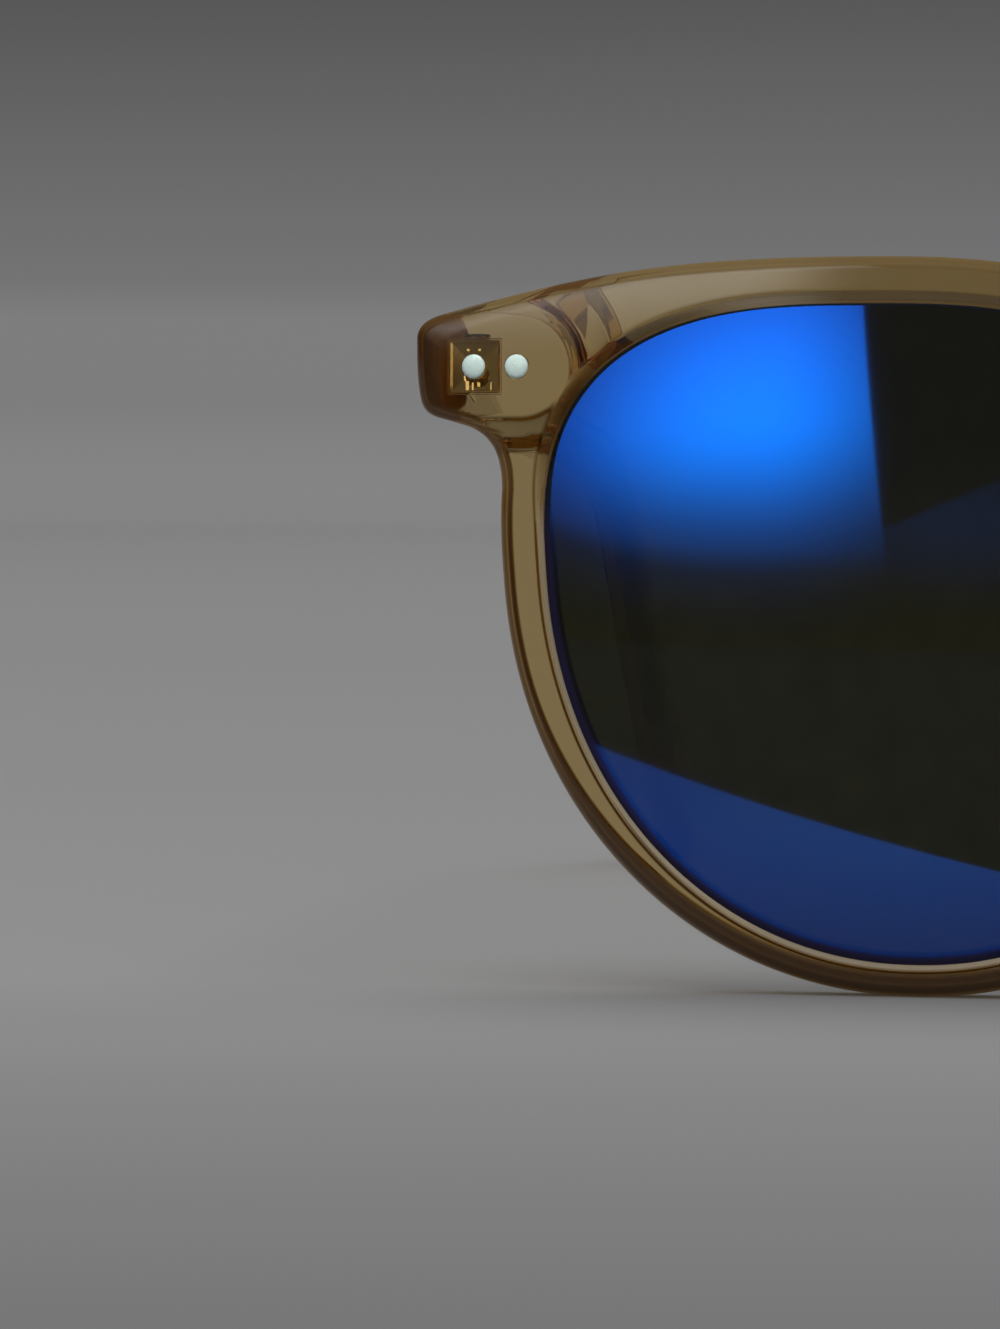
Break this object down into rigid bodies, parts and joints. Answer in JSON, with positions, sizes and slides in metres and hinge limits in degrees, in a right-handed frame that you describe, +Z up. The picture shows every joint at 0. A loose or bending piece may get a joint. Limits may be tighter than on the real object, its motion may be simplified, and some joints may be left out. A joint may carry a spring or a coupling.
{
  "type": "round sunglasses",
  "caption": "Round sunglasses with a transparent brown plastic front, blue mirror lenses, keyhole bridge, flush rivets and folding temples on barrel hinges.",
  "frame": {"origin": "under the middle of the glasses, on the surface that the rims and temple tips stand on", "axes": "+Y from the front to the temple tips, +X to the wearer's left, +Z up"},
  "size_m": [0.14, 0.1452, 0.053],
  "materials": {
    "front_plastic": "polished transparent brown",
    "temple_plastic": "polished transparent brown",
    "mirror_lens": "blue mirror coat over a dark tint",
    "rivet_metal": "polished",
    "hinge_metal": "satin gilt",
    "screw_steel": "turned",
    "core_steel": "drawn wire"
  },
  "bodies": {
    "front": {"front_frame": "front_plastic", "lens_right": "mirror_lens", "lens_left": "mirror_lens", "front_rivet_outer_right": "rivet_metal", "front_rivet_inner_right": "rivet_metal", "front_rivet_outer_left": "rivet_metal", "front_rivet_inner_left": "rivet_metal", "front_hinge_leaf_right": "hinge_metal", "front_hinge_leaf_left": "hinge_metal", "hinge_screw_right": "screw_steel", "hinge_screw_left": "screw_steel"},
    "right_temple": {"temple_right": "temple_plastic", "temple_core_right": "core_steel", "temple_hinge_leaf_right": "hinge_metal", "temple_rivet_front_right": "rivet_metal", "temple_rivet_rear_right": "rivet_metal"},
    "left_temple": {"temple_left": "temple_plastic", "temple_core_left": "core_steel", "temple_hinge_leaf_left": "hinge_metal", "temple_rivet_front_left": "rivet_metal", "temple_rivet_rear_left": "rivet_metal"}
  },
  "joints": [
    {"name": "right_temple_fold", "type": "hinge", "parent": "front", "child": "right_temple", "pos_m": [-0.06565, -0.05956, 0.04517], "axis": [0, 0, -1], "range_deg": [0, 90]},
    {"name": "left_temple_fold", "type": "hinge", "parent": "front", "child": "left_temple", "pos_m": [0.06565, -0.05956, 0.04517], "axis": [0, 0, 1], "range_deg": [0, 85]}
  ]
}
